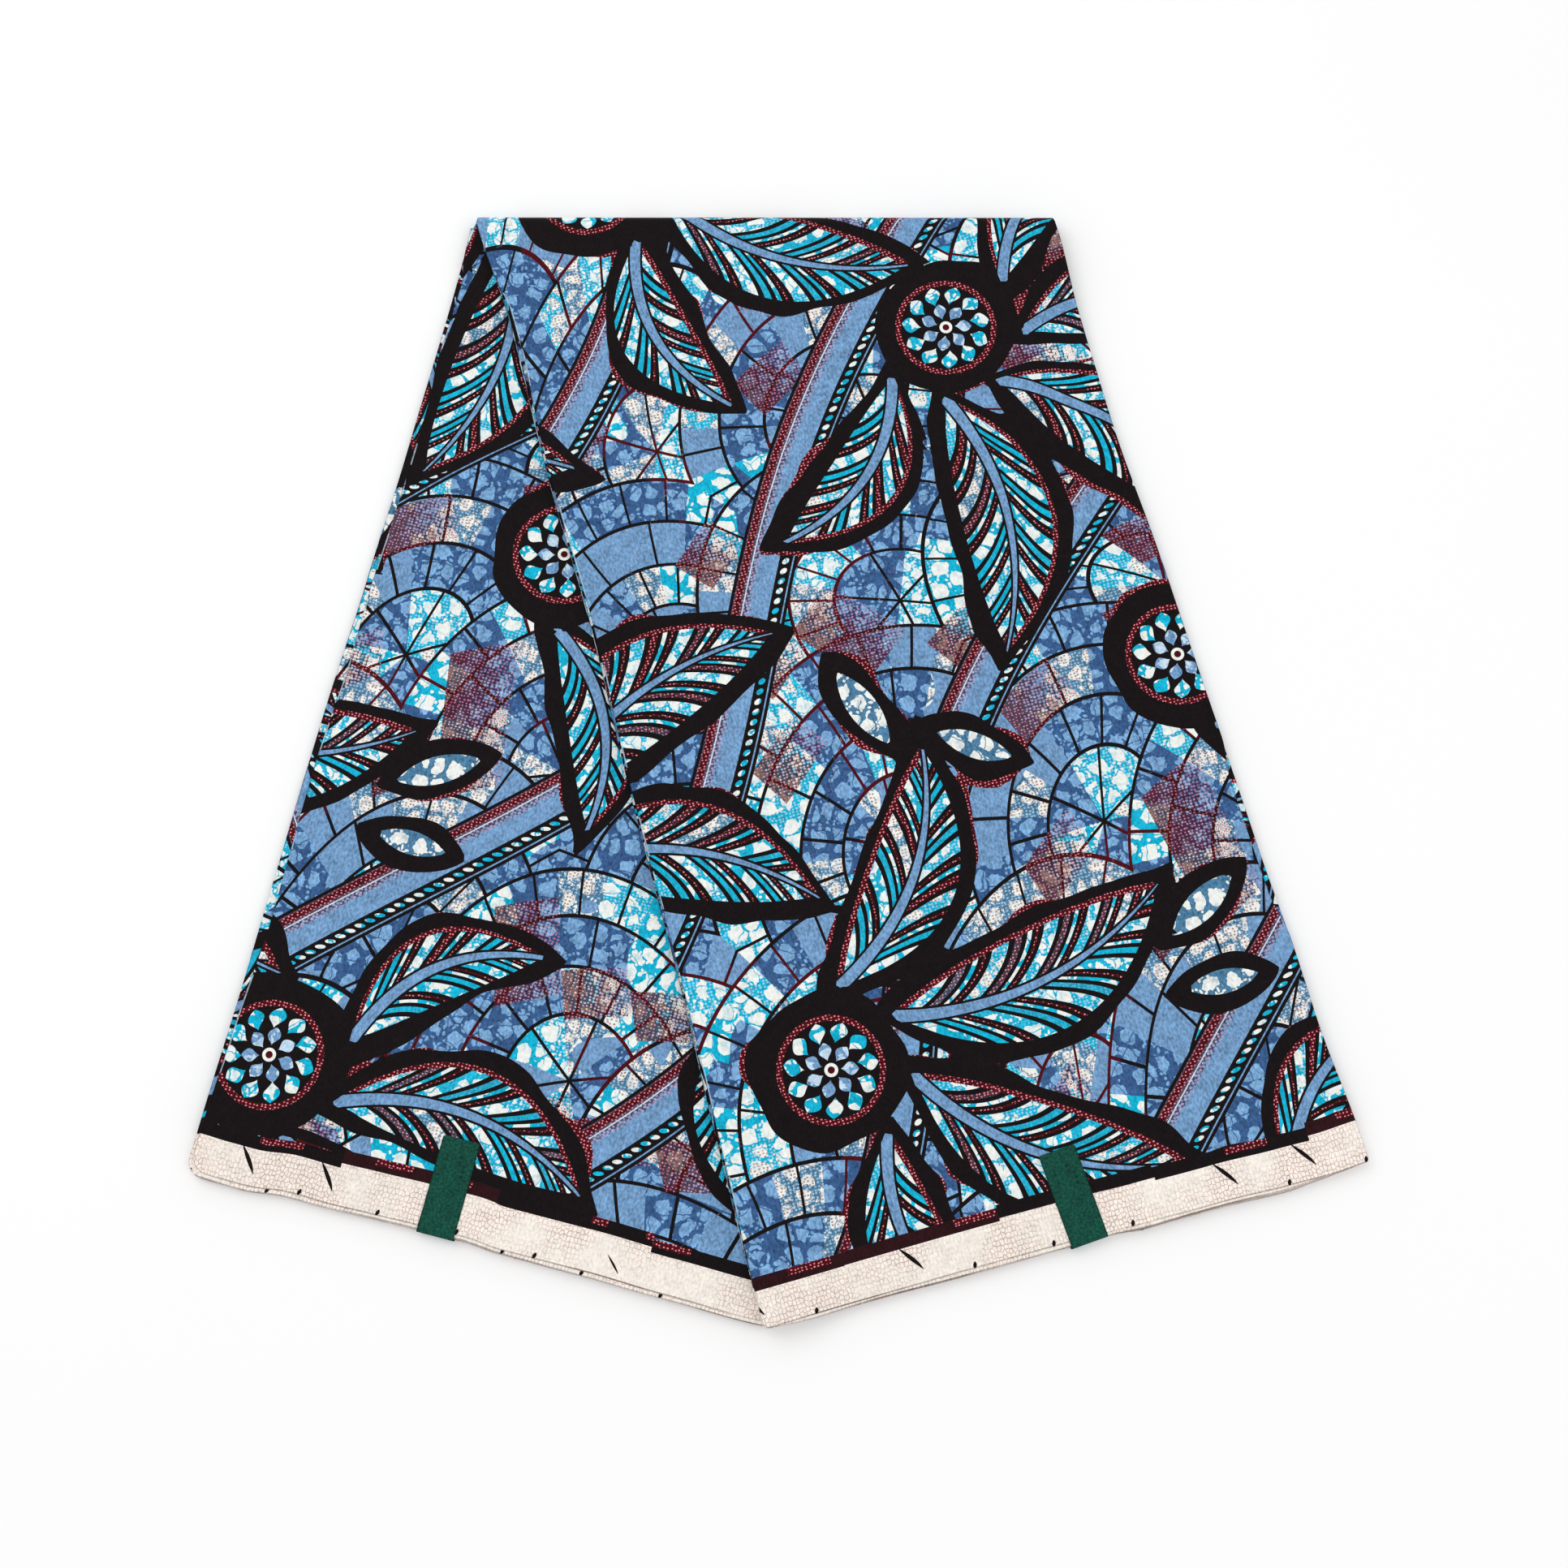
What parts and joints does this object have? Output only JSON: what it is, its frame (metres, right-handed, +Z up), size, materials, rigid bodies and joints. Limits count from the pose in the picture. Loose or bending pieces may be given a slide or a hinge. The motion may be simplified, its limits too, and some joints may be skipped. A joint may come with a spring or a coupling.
{
  "type": "folded wax print cotton fabric length",
  "caption": "Length of wax print cotton pleated into a flat packet and folded once so its halves fan out, with pale selvedges and green paper tapes round both ends.",
  "frame": {"origin": "centre of the packet's box, on the surface that it lies on", "axes": "+Z up from the table, -Y from the straight fold towards the selvedges, +X to the right of someone who looks along +Y"},
  "size_m": [0.6114, 0.6163, 0.0124],
  "materials": {
    "printed_cotton": "plain weave cotton with a wax print in blues, turquoise, cream, burgundy and black",
    "printed_cotton_pleats": "edges of pleated printed cotton, with pale selvedges",
    "green_tape": "matt dark green paper tape"
  },
  "bodies": {
    "root": {"outer_layer": "printed_cotton", "inner_layer": "printed_cotton", "folded_layers": "printed_cotton_pleats", "tape_upper": "green_tape", "tape_lower": "green_tape"}
  },
  "joints": []
}
